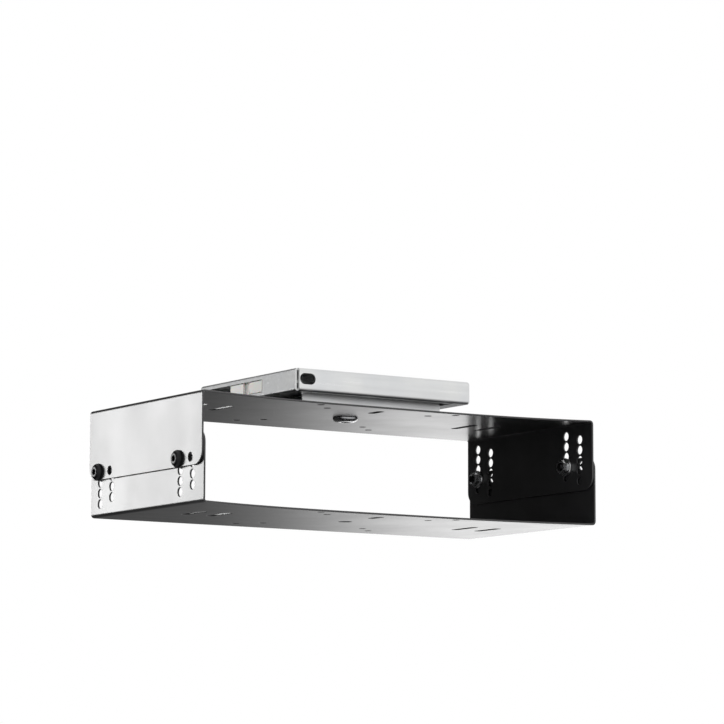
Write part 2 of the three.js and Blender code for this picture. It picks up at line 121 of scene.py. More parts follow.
class BentPath:
    """The outer face of a folded sheet in the plane of its section, found by the distance along it.

    Straight runs join arcs of one radius: on a run a point is origin + distance * heading, and on an
    arc it is origin + (sin(angle) - sin(heading), cos(heading) - cos(angle)) / curvature, where
    angle = heading + curvature * distance. The sheet lies to the right of the path.
    """

    def __init__(self, corners, radius):
        corners = np.asarray(corners, float)
        sides = np.diff(corners, axis=0)
        lengths = np.hypot(*sides.T)
        units = sides / lengths[:, None]
        angles = np.arctan2(units[:, 1], units[:, 0])
        turns = (np.diff(angles) + np.pi) % (2 * np.pi) - np.pi
        self.trims = np.pad(radius * np.tan(np.abs(turns) / 2), 1)
        count = 2 * len(lengths) - 1
        length, self.heading = np.empty(count), np.empty(count)
        self.curvature, self.origin = np.zeros(count), np.empty((count, 2))
        length[0::2] = lengths - self.trims[:-1] - self.trims[1:]
        length[1::2] = radius * np.abs(turns)
        self.heading[0::2], self.heading[1::2] = angles, angles[:-1]
        self.curvature[1::2] = np.sign(turns) / radius
        self.origin[0::2] = corners[:-1] + self.trims[:-1, None] * units
        self.origin[1::2] = corners[1:-1] - self.trims[1:-1, None] * units[:-1]
        self.start = np.append(0, np.cumsum(length))
        shares = np.linspace(0, 1, bend_steps + 1)
        self.folds = (self.start[1:-1:2, None] + length[1::2, None] * shares).ravel()
        self.length = self.start[-1]

    def at(self, run, distance):
        """The pattern coordinate of a point on a run, by its distance from the sharp corner before it."""
        return self.start[2 * run] + distance - self.trims[run]

    def points(self, distance):
        i = np.clip(np.searchsorted(self.start, distance, side="right") - 1, 0, len(self.heading) - 1)
        gone = distance - self.start[i]
        heading, curvature = self.heading[i], self.curvature[i]
        angle = heading + curvature * gone
        straight = gone * np.array([np.cos(heading), np.sin(heading)])
        bend = np.where(curvature == 0, 1, curvature)
        arc = np.array([np.sin(angle) - np.sin(heading), np.cos(heading) - np.cos(angle)]) / bend
        return self.origin[i].T + np.where(curvature == 0, straight, arc), angle


def rounded(corners, radius):
    """A closed outline whose corners are arcs: from the point radius * tan(turn / 2) before a corner,
    each arc turns about a centre one radius to the side, by equal shares of the corner's turn."""
    corners = np.asarray(corners, float)
    leave = np.roll(corners, -1, 0) - corners
    leave /= np.hypot(*leave.T)[:, None]
    arrive = np.roll(leave, 1, 0)
    turn = np.arctan2(arrive[:, 0] * leave[:, 1] - arrive[:, 1] * leave[:, 0], (arrive * leave).sum(1))
    side = np.sign(turn)[:, None] * np.stack([-arrive[:, 1], arrive[:, 0]], 1)
    radius = np.broadcast_to(radius, turn.shape)[:, None]
    centre = corners - arrive * radius * np.tan(np.abs(turn) / 2)[:, None] + side * radius
    angle = turn[:, None] * np.linspace(0, 1, corner_steps + 1)
    spoke = -side * radius
    across = np.stack([-spoke[:, 1], spoke[:, 0]], 1)
    points = (centre[:, None] + spoke[:, None] * np.cos(angle)[..., None]
              + across[:, None] * np.sin(angle)[..., None]).reshape(-1, 2)
    apart = np.hypot(*(points - np.roll(points, 1, 0)).T)
    return points[apart > same_point]


def round_hole(a, b, diameter, sides=hole_sides):
    """A circle, centre + radius * (cos, sin)."""
    angle = 2 * np.pi * np.arange(sides) / sides
    return np.stack([a + diameter / 2 * np.cos(angle), b + diameter / 2 * np.sin(angle)], 1)


def box_hole(a, b, length, width, radius):
    """A rectangle about a centre with its corners turned on a radius."""
    corners = np.array([(-1, -1), (1, -1), (1, 1), (-1, 1)]) * (length / 2, width / 2)
    return rounded(corners + (a, b), radius)


def cut_at(loop, axis, value):
    """Adds a point wherever a loop crosses the line on which one of its coordinates has this value."""
    here = loop[:, axis] - value
    there = np.roll(here, -1)
    crossing = np.nonzero(here * there < 0)[0]
    share = (here[crossing] / (here[crossing] - there[crossing]))[:, None]
    new = loop[crossing] * (1 - share) + np.roll(loop, -1, 0)[crossing] * share
    new[:, axis] = value
    return np.insert(loop, crossing + 1, new, axis=0)


def inset_directions(loop):
    """The step that moves each point of a loop one unit to its left, mitred at the corners:
    the sum of the two sides' normals over one plus their product."""
    side = np.roll(loop, -1, 0) - loop
    side /= np.hypot(*side.T)[:, None]
    after = np.stack([-side[:, 1], side[:, 0]], 1)
    before = np.roll(after, 1, 0)
    return (before + after) / (1 + (before * after).sum(1))[:, None]


def fill(flat, rings, fold_pairs):
    """Triangles between the first ring of points, an outline, and the others, its holes. Fold lines
    are edges of the triangles, so that the sheet can bend along them."""
    loops = [rings[0]] + [ring[::-1] for ring in rings[1:]]
    points = [Vector(point) for point in flat / mm]
    _, _, faces, origins, _, sources = delaunay_2d_cdt(
        points, fold_pairs, loops, fill_whole_hull, fill_tolerance)
    index = np.array([origin[0] for origin in origins])
    kept = [face for face, source in zip(faces, sources) if source == [0]]
    return index[np.array(kept)]


def folded(flat, across, along):
    """Carries points of a flat pattern round its bends. The first coordinate runs along a path in X
    and Z, the second along a path in Y and Z, and the heights add. Gives the points, the two unit
    directions in the sheet and their cross product, which is the outer face's normal."""
    zero = np.zeros(len(flat))
    (x, x_height), x_angle = across.points(flat[:, 0]) if across else ((flat[:, 0], zero), zero)
    (y, y_height), y_angle = along.points(flat[:, 1]) if along else ((flat[:, 1], zero), zero)
    first = np.stack([np.cos(x_angle), zero, np.sin(x_angle)], 1)
    second = np.stack([zero, np.cos(y_angle), np.sin(y_angle)], 1)
    return np.stack([x, y, x_height + y_height], 1), first, second, np.cross(first, second)


def sheet_surface(loops, thickness, edge, across=None, along=None):
    """A sheet with thickness, from a flat outline and holes, folded along its paths.

    Each loop carries an edge profile: two quarter rounds of the edge's radius, joined by the wall.
    The two faces are filled between the innermost rounds. Each point has its exact normal.
    """
    for axis, path in enumerate((across, along)):
        for value in path.folds if path else ():
            loops = [cut_at(loop, axis, value) for loop in loops]
    loops = [loops[0]] + [loop[::-1] for loop in loops[1:]]
    joined = np.concatenate(loops)
    pairs = []
    for axis, path in enumerate((across, along)):
        for value in path.folds if path else ():
            on_fold = np.nonzero(np.abs(joined[:, axis] - value) < on_line)[0]
            on_fold = on_fold[np.argsort(joined[on_fold, 1 - axis])]
            pairs += on_fold[: len(on_fold) // 2 * 2].reshape(-1, 2).tolist()
    quarter = np.linspace(0, np.pi / 2, edge_steps + 1)
    tilt = np.concatenate([quarter, np.pi / 2 + quarter])
    inset = edge * (1 - np.sin(tilt))
    depth = edge * (1 - np.cos(quarter))
    depth = np.concatenate([depth, thickness - depth[::-1]])
    rows = len(tilt)
    direction = np.concatenate([inset_directions(loop) for loop in loops])
    flat = joined[:, None] + direction[:, None] * inset[:, None]
    place, first, second, normal = folded(flat.reshape(-1, 2), across, along)
    outward = -np.repeat(direction / np.hypot(*direction.T)[:, None], rows, 0)
    wall = first * outward[:, :1] + second * outward[:, 1:]
    deep, lean = np.tile(depth, len(joined))[:, None], np.tile(tilt, len(joined))[:, None]
    points = place - normal * deep
    normals = normal * np.cos(lean) + wall * np.sin(lean)
    rings = [list(range(end - len(loop), end)) for loop, end in
             zip(loops, np.cumsum([len(loop) for loop in loops]))]
    triangles = fill(flat[:, 0], rings, pairs)
    following = np.concatenate([np.roll(ring, -1) for ring in rings])
    here = np.arange(len(joined))[:, None] * rows + np.arange(rows - 1)
    there = following[:, None] * rows + np.arange(rows - 1)
    strips = np.stack([here, here + 1, there + 1, there], -1).reshape(-1, 4)
    faces = (triangles * rows).tolist() + (triangles[:, ::-1] * rows + rows - 1).tolist()
    return points, normals, faces + strips.tolist()


def add_piece(name, points, faces, material, body, stands_for=(), normals=None, sharp=35):
    """Puts arrays of points and faces into a mesh object at the origin, and ties it to the frame."""
    mesh = bpy.data.meshes.new(name)
    mesh.from_pydata(np.asarray(points).tolist(), [], faces)
    mesh.materials.append(material)
    mesh.shade_smooth()
    if normals is None:
        mesh.set_sharp_from_angle(angle=np.radians(sharp))
    else:
        mesh.normals_split_custom_set_from_vertices(normals)
    piece = bpy.data.objects.new(name, mesh)
    bpy.context.scene.collection.objects.link(piece)
    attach(piece, body)
    if stands_for:
        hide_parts(*stands_for)
    return piece


def new_material(name, **values):
    """A node material with one surface shader, whose plain values are set on its own sockets."""
    material = bpy.data.materials.new(name)
    material.use_nodes = True
    shader = material.node_tree.nodes["Principled BSDF"]
    for socket, value in values.items():
        shader.inputs[socket.replace("_", " ")].default_value = value
    return material.node_tree, shader, material


def pattern(tree, scale, stretch=(1, 1, 1), detail=2, seed=0):
    """Noise on Object coordinates, scale waves to the metre, drawn out along an axis by stretch."""
    place = tree.nodes.new("ShaderNodeTexCoord")
    mapping = tree.nodes.new("ShaderNodeMapping")
    mapping.inputs["Scale"].default_value = stretch
    mapping.inputs["Location"].default_value = (seed, seed, seed)
    noise = tree.nodes.new("ShaderNodeTexNoise")
    noise.inputs["Scale"].default_value = scale
    noise.inputs["Detail"].default_value = detail
    tree.links.new(place.outputs["Object"], mapping.inputs["Vector"])
    tree.links.new(mapping.outputs["Vector"], noise.inputs["Vector"])
    return noise.outputs["Fac"]


def between(tree, share, low, high):
    """A number that goes from low to high with a pattern."""
    ranged = tree.nodes.new("ShaderNodeMapRange")
    ranged.inputs["From Min"].default_value = noise_low
    ranged.inputs["From Max"].default_value = noise_high
    ranged.inputs["To Min"].default_value = low
    ranged.inputs["To Max"].default_value = high
    tree.links.new(share, ranged.inputs["Value"])
    return ranged.outputs["Result"]


def blend_colours(tree, share, low, high):
    """A colour that goes from low to high with a pattern."""
    mix = tree.nodes.new("ShaderNodeMix")
    mix.data_type = "RGBA"
    mix.inputs["A"].default_value = (*low, 1)
    mix.inputs["B"].default_value = (*high, 1)
    tree.links.new(between(tree, share, 0, 1), mix.inputs["Factor"])
    return mix.outputs["Result"]


def bumps(tree, shader, *patterns):
    """Small heights in metres, laid one over another onto the shader's normal."""
    for share, height in patterns:
        bump = tree.nodes.new("ShaderNodeBump")
        bump.inputs["Distance"].default_value = height
        tree.links.new(share, bump.inputs["Height"])
        if shader.inputs["Normal"].links:
            tree.links.new(shader.inputs["Normal"].links[0].from_socket, bump.inputs["Normal"])
        tree.links.new(bump.outputs["Normal"], shader.inputs["Normal"])


def powder_coat():
    """Black powder coat: a fine orange peel about a millimetre across, a finer grain on it, and
    broad soft changes of gloss."""
    tree, shader, material = new_material("black_powder_coat", IOR=1.5, Coat_Weight=0.6,
                                          Coat_Roughness=0.24, Coat_IOR=1.5)
    tree.links.new(blend_colours(tree, pattern(tree, 60), (0.010, 0.010, 0.011), (0.016, 0.016, 0.017)),
                   shader.inputs["Base Color"])
    gloss = pattern(tree, 25, detail=3, seed=3)
    tree.links.new(between(tree, gloss, 0.34, 0.42), shader.inputs["Roughness"])
    bumps(tree, shader, (pattern(tree, 900), 0.012 * mm), (pattern(tree, 3500, seed=5), 0.004 * mm))
    return material


black_coat = powder_coat()
upper_low, upper_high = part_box("upper_channel")
lower_low, lower_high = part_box("lower_channel")
cradle_middle = (upper_high.z + lower_low.z) / 2
cradle_y = (upper_low.y + upper_high.y) / 2
half_depth = (upper_high.y - upper_low.y) / 2
half_width = -upper_low.x
channel_path = BentPath([
    (upper_low.x, upper_low.z), (upper_low.x, upper_high.z), (upper_high.x, upper_high.z),
    (upper_high.x, upper_low.z),
], channel_bend)


def channel_outline():
    """The flat outline: straight sides with rounded corners, and a front edge that is set back by
    front_set_back * (1 - (x / reach) ** power), which fades out at the flank on each side."""
    length = channel_path.length
    corners = [(0, -half_depth), (length, -half_depth), (length, half_depth), (0, half_depth)]
    outline = rounded(corners, flank_corner)
    run = np.linspace(flank_corner, length - flank_corner, curve_steps + 1)[1:-1]
    (x, _), _ = channel_path.points(run)
    reach = np.where(x < 0, upper_low.x, upper_high.x)
    set_back = front_set_back * (1 - (x / reach) ** set_back_power)
    front = np.stack([run, set_back - half_depth], 1)
    return np.insert(outline, corner_steps + 1, front, axis=0) + (0, cradle_y)


def channel_holes():
    """Two rows of holes at the front and two at the back of the inner flank, a screw hole in each row
    of the outer one, and the plate's holes: two square patterns, the pivot's hole and five slots."""
    plate = channel_path.at(1, half_width)
    rows = [front_row_inset - half_depth, front_row_inset + row_spacing - half_depth,
            half_depth - rear_row_inset, half_depth - rear_row_inset + row_spacing]
    holes = [round_hole(channel_path.at(0, outer_hole_margin), row, row_hole) for row in rows]
    for i, row in enumerate(rows):
        first = row_start if i % 2 == 1 else row_start + row_pitch / 2
        holes += [round_hole(channel_path.at(2, first + k * row_pitch), row, row_hole)
                  for k in range(row_count)]
    for size in pattern_sizes:
        holes += [round_hole(plate + a * size / 2, b * size / 2, pattern_hole)
                  for a in (-1, 1) for b in (-1, 1)]
    holes.append(round_hole(plate, 0, pivot_hole))
    holes.append(box_hole(plate, -centre_slot_offset, slot_width, centre_slot, slot_width / 2))
    holes += [box_hole(plate + side * place, 0, slot_width, side_slot, slot_width / 2)
              for side in (-1, 1) for place in side_slot_places]
    return [hole + (0, cradle_y) for hole in holes]


points, normals, faces = sheet_surface([channel_outline(), *channel_holes()], channel_sheet, channel_edge,
                                       across=channel_path)
add_piece("upper_cradle_channel", points, faces, black_coat, "cradle", ["upper_channel"],
          normals)
half_turn = np.array([-1, 1, -1])
turned_over = points * half_turn + (0, 0, 2 * cradle_middle)
add_piece("lower_cradle_channel", turned_over, faces, black_coat, "cradle", ["lower_channel"],
          normals * half_turn)

# Clamp screws
# Four M5 screws with low domed heads and a hexagon socket, blackened steel. They go in from the
# sides through both flanks, where the upper and the lower channel overlap.
screw_thread = 5 * mm
screw_pitch = 0.8 * mm
screw_socket = 3 * mm
screw_socket_depth = 1.8 * mm
screw_socket_rim = 3.9 * mm
socket_floor_share = 0.7
socket_tip_share = 0.05
screw_crown = 4.8 * mm
screw_edge = 0.35 * mm
screw_rim_share = 0.7
screw_tip = 0.5 * mm
thread_rows = 8
thread_depth_share = 0.61
thread_flat_share = 0.125
turn_sides = 48
dome_steps = 10
flank_seam = 0.3 * mm
screw_turns = np.radians([12, 41, 27, 5])
turn_angles = 2 * np.pi * np.arange(turn_sides) / turn_sides
screw_low, screw_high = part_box("clamp_screw_left_front")
screw_head = screw_high.z - screw_low.z
screw_head_height = -half_width - screw_low.x
screw_length = screw_high.x + half_width


def hexagon(across_flats):
    """The radius of a hexagon at each angle round it: half its width over flats / cos(angle - 30),
    with the angle counted from the last corner."""
    return across_flats / 2 / np.cos(turn_angles % (np.pi / 3) - np.pi / 6)


def threaded(diameter, pitch, low, high):
    """Rows of a screw thread between two heights: a triangle wave of height / pitch - angle / turn,
    cut flat at crest and root."""
    height = np.linspace(low, high, int(round((high - low) / pitch * thread_rows)) + 1)[:, None]
    wave = np.abs(2 * ((height / pitch - turn_angles / (2 * np.pi)) % 1) - 1)
    slope = (1 + 2 * thread_flat_share) * wave - thread_flat_share
    depth = thread_depth_share * pitch * (1 - np.clip(slope, 0, 1))
    return [(diameter / 2 - row, z) for row, z in zip(depth, height)]


def carried_round(rows, closed=False):
    """A profile carried round the Z axis: each row is a radius and a height, both of them one number
    or a value for each angle, and the surface joins radius * (cos, sin) at that height, row by row
    from the lowest outwards. A profile that isn't closed on itself ends in a point on the axis."""
    radius = np.array([np.broadcast_to(row[0], turn_sides) for row in rows])
    height = np.array([np.broadcast_to(row[1], turn_sides) for row in rows])
    points = np.stack([radius * np.cos(turn_angles), radius * np.sin(turn_angles), height], -1)
    points = points.reshape(-1, 3)
    index = np.arange(len(points)).reshape(len(rows), turn_sides)
    upper, lower = (np.roll(index, -1, 0), index) if closed else (index[1:], index[:-1])
    quads = np.stack([lower, np.roll(lower, -1, 1), np.roll(upper, -1, 1), upper], -1).reshape(-1, 4)
    if closed:
        return points, quads.tolist()
    ends = [(0, 0, height[0].mean()), (0, 0, height[-1].mean())]
    first, last = len(points), len(points) + 1
    fans = [(first, b, a) for a, b in zip(index[0], np.roll(index[0], -1))]
    fans += [(last, a, b) for a, b in zip(index[-1], np.roll(index[-1], -1))]
    return np.concatenate([points, ends]), quads.tolist() + fans


def dome(edge_radius, crown_radius, low, high):
    """A quarter of an ellipse from the rim of a head up to the edge of its flat crown."""
    angle = np.linspace(0, np.pi / 2, dome_steps + 1)
    radius = crown_radius + (edge_radius - crown_radius) * np.cos(angle)
    return list(zip(radius, low + (high - low) * np.sin(angle)))


def socket(across_flats, rim, top, depth):
    """A hexagon socket from its countersunk rim down to the cone at its bottom."""
    corner = hexagon(across_flats)
    sink = (rim - across_flats) / 2
    return [(rim / 2, top), (corner, top - sink / 2), (corner, top - depth),
            (socket_floor_share * corner, top - depth),
            (socket_tip_share * corner, top - depth - sink / 2)]


def set_along(points, axis, place, turn=0):
    """Turns points about Z, lays Z along another axis and moves them to their place."""
    axis = np.array(axis, float)
    first = np.array((0.0, 1.0, 0.0))
    second = np.cross(axis, first)
    x = points[:, :1] * np.cos(turn) - points[:, 1:2] * np.sin(turn)
    y = points[:, :1] * np.sin(turn) + points[:, 1:2] * np.cos(turn)
    return x * first + y * second + points[:, 2:] * axis + np.array(place)


def blackened_steel():
    """Black oxide on steel: dark metal with a light film of oil, and paler where tools rub it."""
    tree, shader, material = new_material("blackened_steel", Metallic=0.9, Coat_Weight=0.15,
                                          Coat_Roughness=0.12)
    tree.links.new(blend_colours(tree, pattern(tree, 400, detail=3), (0.010, 0.010, 0.011),
                                 (0.020, 0.020, 0.021)), shader.inputs["Base Color"])
    tree.links.new(between(tree, pattern(tree, 900, seed=4), 0.26, 0.40), shader.inputs["Roughness"])
    bumps(tree, shader, (pattern(tree, 1800, seed=9), 0.006 * mm))
    return material


black_steel = blackened_steel()
head_rows = [(screw_head / 2 - screw_edge, 0), (screw_head / 2, screw_edge * screw_rim_share)]
head_rows += dome(screw_head / 2, screw_crown / 2, screw_edge, screw_head_height)
screw_rows = [(screw_thread / 2 - thread_depth_share * screw_pitch, -screw_length)]
screw_turns_cut = threaded(screw_thread, screw_pitch, screw_tip - screw_length, -screw_edge)
screw_rows += [(np.minimum(radius, screw_thread / 2 - screw_tip + height + screw_length), height)
               for radius, height in screw_turns_cut]
screw_rows += [(screw_thread / 2, 0), *head_rows]
screw_rows += socket(screw_socket, screw_socket_rim, screw_head_height, screw_socket_depth)
screw_points, screw_faces = carried_round(screw_rows)
screw_y = [cradle_y - half_depth + front_row_inset + row_spacing,
           cradle_y + half_depth - rear_row_inset + row_spacing]
screw_z = {"left": upper_low.z + outer_hole_margin, "right": lower_high.z - outer_hole_margin}
screw_spots = [(side, x, end, y) for side, x in (("left", -1), ("right", 1))
               for end, y in zip(("front", "rear"), screw_y)]
for (side, x, end, y), turn in zip(screw_spots, screw_turns):
    placed = set_along(screw_points, (x, 0, 0), (x * half_width, y, screw_z[side]), turn)
    add_piece(f"{side}_{end}_clamp_screw", placed, screw_faces, black_steel, "cradle",
              [f"clamp_screw_{side}_{end}"])

# Flanged nuts
# A zinc-plated M5 nut with a pressed flange sits on each clamp screw, inside the bay.
nut_flats = 8 * mm
nut_height = 4.7 * mm
nut_flange = 11.8 * mm
nut_flange_edge = 0.55 * mm
nut_flange_height = 1.1 * mm
nut_flange_slope = 0.3
nut_chamfer = 0.5 * mm
nut_bore = 5.12 * mm
nut_turns = np.radians([8, 50, 33, 20])


def plated_steel():
    """Zinc-plated turned and pressed steel: brighter than the sheet, with fine turning marks."""
    tree, shader, material = new_material("plated_steel", Metallic=1.0)
    tree.links.new(blend_colours(tree, pattern(tree, 350, detail=3), (0.50, 0.51, 0.53), (0.64, 0.64, 0.63)),
                   shader.inputs["Base Color"])
    tree.links.new(between(tree, pattern(tree, 1200, seed=6), 0.20, 0.34), shader.inputs["Roughness"])
    bumps(tree, shader, (pattern(tree, 2500, seed=1), 0.004 * mm))
    return material


plated = plated_steel()
nut_corner = hexagon(nut_flats)
nut_face = nut_flats / 2 - nut_chamfer / 2
nut_rows = [
    (nut_bore / 2, -nut_height + nut_chamfer), (nut_bore / 2 + nut_chamfer, -nut_height),
    (nut_face, -nut_height), (nut_corner, -nut_height + (nut_corner - nut_face) * np.tan(np.pi / 6)),
    (nut_corner, -nut_flange_height - (nut_flange / 2 - nut_corner) * nut_flange_slope),
    (nut_flange / 2 - nut_flange_edge / 2, -nut_flange_height), (nut_flange / 2, -nut_flange_edge),
    (nut_flange / 2, -nut_flange_edge / 2), (nut_flange / 2 - nut_flange_edge / 2, 0),
    (nut_bore / 2 + nut_chamfer, 0), (nut_bore / 2, -nut_chamfer),
]
nut_points, nut_faces = carried_round(nut_rows, closed=True)
nut_seat = half_width - 2 * channel_sheet - flank_seam
for (side, x, end, y), turn in zip(screw_spots, nut_turns):
    placed = set_along(nut_points, (x, 0, 0), (x * nut_seat, y, screw_z[side]), turn)
    add_piece(f"{side}_{end}_clamp_nut", placed, nut_faces, plated, "cradle",
              [f"clamp_nut_{side}_{end}"])

# Mount housing
# One sheet of zinc-plated steel, folded down on all four sides with open corners. The side walls end
# in lips that carry the glides and have a long window each, and the front wall has a round-ended hole.
housing_sheet = 1.5 * mm
housing_bend = 1.8 * mm
housing_edge = 0.18 * mm
housing_corner = 0.7 * mm
notch_corner = 0.3 * mm
lip_width = 12 * mm
front_return = 5.5 * mm
corner_relief = 1.9 * mm
return_step = 0.4 * mm
window_from_front = 40.4 * mm
window_length = 70.6 * mm
window_top_margin = 3.3 * mm
window_height = 7.9 * mm
window_corner = 0.8 * mm
key_hole_length = 11.1 * mm
key_hole_height = 6.7 * mm
key_hole_inset = 8 * mm
key_hole_drop = 6.6 * mm
mount_screw_hole = 5 * mm
mount_screw_inset = 24 * mm, 16 * mm


def zinc_coat():
    """Bright zinc plating: faint rolling streaks along the sheet, a soft cloudy change of tone and
    fine scratches."""
    tree, shader, material = new_material("bright_zinc", Metallic=1.0)
    cloud = pattern(tree, 45, detail=4)
    streaks = pattern(tree, 500, (0.04, 1, 1), 3, seed=2)
    tree.links.new(blend_colours(tree, cloud, (0.62, 0.63, 0.64), (0.68, 0.685, 0.68)),
                   shader.inputs["Base Color"])
    tree.links.new(between(tree, streaks, 0.27, 0.40), shader.inputs["Roughness"])
    bumps(tree, shader, (streaks, 0.004 * mm), (pattern(tree, 300, seed=7), 0.01 * mm))
    return material


bright_zinc = zinc_coat()
housing_low, housing_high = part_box("mount_housing")
housing_half = Vector((housing_high.x, housing_high.y))
housing_across = BentPath([
    (lip_width - housing_half.x, housing_low.z), (-housing_half.x, housing_low.z), (-housing_half.x, 0),
    (housing_half.x, 0), (housing_half.x, housing_low.z), (housing_half.x - lip_width, housing_low.z),
], housing_bend)
housing_along = BentPath([
    (front_return - housing_half.y, housing_low.z), (-housing_half.y, housing_low.z), (-housing_half.y, 0),
    (housing_half.y, 0), (housing_half.y, housing_low.z),
], housing_bend)


def housing_outline():
    """A cross: the web, a long flap at each side, a flap with a narrower return at the front, and a
    plain flap at the back. The notches at its four inner corners become the housing's open corners.
    Each corner is given with its radius."""
    left, right = (housing_across.at(2, s) for s in (corner_relief, 2 * housing_half.x - corner_relief))
    front, rear = (housing_along.at(2, s) for s in (corner_relief, 2 * housing_half.y - corner_relief))
    step = housing_along.at(0, front_return - housing_bend - return_step)
    end_across, end_along = housing_across.length, housing_along.length
    corners = [
        (left + lip_width, 0, housing_corner), (right - lip_width, 0, housing_corner),
        (right - lip_width, step, notch_corner), (right, step, housing_corner),
        (right, front, notch_corner), (end_across, front, housing_corner),
        (end_across, rear, housing_corner), (right, rear, notch_corner),
        (right, end_along, housing_corner), (left, end_along, housing_corner),
        (left, rear, notch_corner), (0, rear, housing_corner),
        (0, front, housing_corner), (left, front, notch_corner),
        (left, step, housing_corner), (left + lip_width, step, notch_corner),
    ]
    return rounded([corner[:2] for corner in corners], [corner[2] for corner in corners])


def housing_holes():
    """A window in each side wall, the round-ended hole in the front wall and four screw holes."""
    window_middle = housing_along.at(2, window_from_front + window_length / 2)
    window_drop = window_top_margin + window_height / 2
    height = -housing_low.z
    holes = [box_hole(place, window_middle, window_height, window_length, window_corner)
             for place in (housing_across.at(1, height - window_drop), housing_across.at(3, window_drop))]
    holes.append(box_hole(housing_across.at(2, key_hole_inset), housing_along.at(1, height - key_hole_drop),
                          key_hole_length, key_hole_height, key_hole_height / 2))
    for side_x in (-1, 1):
        for side_y in (-1, 1):
            holes.append(round_hole(
                housing_across.at(2, housing_half.x + side_x * (housing_half.x - mount_screw_inset[0])),
                housing_along.at(2, housing_half.y + side_y * (housing_half.y - mount_screw_inset[1])),
                mount_screw_hole))
    return holes


points, normals, faces = sheet_surface([housing_outline(), *housing_holes()], housing_sheet, housing_edge,
                                       housing_across, housing_along)
add_piece("folded_mount_housing", points, faces, bright_zinc, "mount", ["mount_housing"],
          normals)

# Slide plate
# A flat plate of the same plated steel inside the housing. The glides clip into notches in its side
# edges, and the hanger is riveted under it.
plate_edge = 0.2 * mm
plate_corner = 0.6 * mm
access_hole = 25 * mm
rivet_shank = 4 * mm
rivet_inset = 12 * mm
hanger_flange = 12 * mm
hanger_sheet = 1.5 * mm
running_gap = 0.3 * mm
glide_wall = 2.2 * mm
nib_depth = 1.5 * mm
glide_low, glide_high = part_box("glide_left")
plate_low, plate_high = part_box("slide_plate")
hanger_low, hanger_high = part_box("hanger_channel")
groove_floor = -glide_low.x - nib_depth - glide_wall - running_gap
round_sides = 96


def rivet_places():
    """The four rivets, from the hanger's ends and from the middles of its flanges."""
    x = hanger_high.x - rivet_inset
    y = (hanger_high.y - hanger_low.y) / 2 - hanger_flange / 2 - hanger_sheet / 2
    return [(side_x, side_y, side_x * x, cradle_y + side_y * y) for side_x in (-1, 1) for side_y in (-1, 1)]


glide_grip = glide_low.y, glide_high.y
outline = [
    (-plate_high.x, plate_low.y), (plate_high.x, plate_low.y), (plate_high.x, glide_grip[0]),
    (groove_floor, glide_grip[0]), (groove_floor, glide_grip[1]), (plate_high.x, glide_grip[1]),
    (plate_high.x, plate_high.y), (-plate_high.x, plate_high.y), (-plate_high.x, glide_grip[1]),
    (-groove_floor, glide_grip[1]), (-groove_floor, glide_grip[0]), (-plate_high.x, glide_grip[0]),
]
corner_radii = [plate_corner, plate_corner] + [notch_corner] * 4
holes = [round_hole(x, y, rivet_shank) for _, _, x, y in rivet_places()]
holes.append(round_hole(0, cradle_y, access_hole, round_sides))
points, normals, faces = sheet_surface([rounded(outline, corner_radii * 2), *holes],
                                       plate_high.z - plate_low.z, plate_edge)
add_piece("flat_slide_plate", points + (0, 0, plate_high.z), faces, bright_zinc, "carriage",
          ["slide_plate"], normals)

# Glides
# Two moulded blocks of white nylon. Each grips an edge of the slide plate in its groove, runs on the
# housing's lip, and has two nibs that stand in the side window and stop at its ends.
nib_gap_start = 15.6 * mm
nib_gap_end = 22.4 * mm
nib_play = 0.3 * mm
glide_round = 0.4 * mm


def block_surface(planes, filled):
    """The outer faces of blocks in a grid of planes: a face lies wherever a filled cell meets an empty
    one, which is where the difference of the filled cells along an axis isn't zero."""
    counts = [len(plane) for plane in planes]
    index = np.arange(np.prod(counts)).reshape(counts)
    faces = []
    for axis in range(3):
        first, second = (axis + 1) % 3, (axis + 2) % 3
        margin = [(0, 0)] * 3
        margin[axis] = (1, 1)
        change = np.diff(np.pad(filled.astype(int), margin), axis=axis)
        corner = [index]
        for other in (first, second):
            corner = [np.delete(part, end, other) for end in (-1, 0) for part in corner]
        quads = np.stack([corner[0], corner[2], corner[3], corner[1]], -1)
        if axis == 1:
            quads = quads[..., ::-1]
        faces += [quads[change < 0], quads[change > 0][:, ::-1]]
    faces = np.concatenate(faces)
    used, faces = np.unique(faces, return_inverse=True)
    points = np.stack(np.meshgrid(*planes, indexing="ij"), -1).reshape(-1, 3)
    return points[used], faces.reshape(-1, 4).tolist()


def moulded_nylon():
    """White nylon: a little light goes into it, and its skin is faintly uneven from the mould."""
    tree, shader, material = new_material("white_nylon", Subsurface_Weight=0.2, Subsurface_Scale=0.8 * mm)
    tree.links.new(blend_colours(tree, pattern(tree, 120, detail=3), (0.80, 0.79, 0.75), (0.86, 0.85, 0.82)),
                   shader.inputs["Base Color"])
    tree.links.new(between(tree, pattern(tree, 500, seed=8), 0.40, 0.55), shader.inputs["Roughness"])
    bumps(tree, shader, (pattern(tree, 1500, seed=2), 0.008 * mm))
    return material


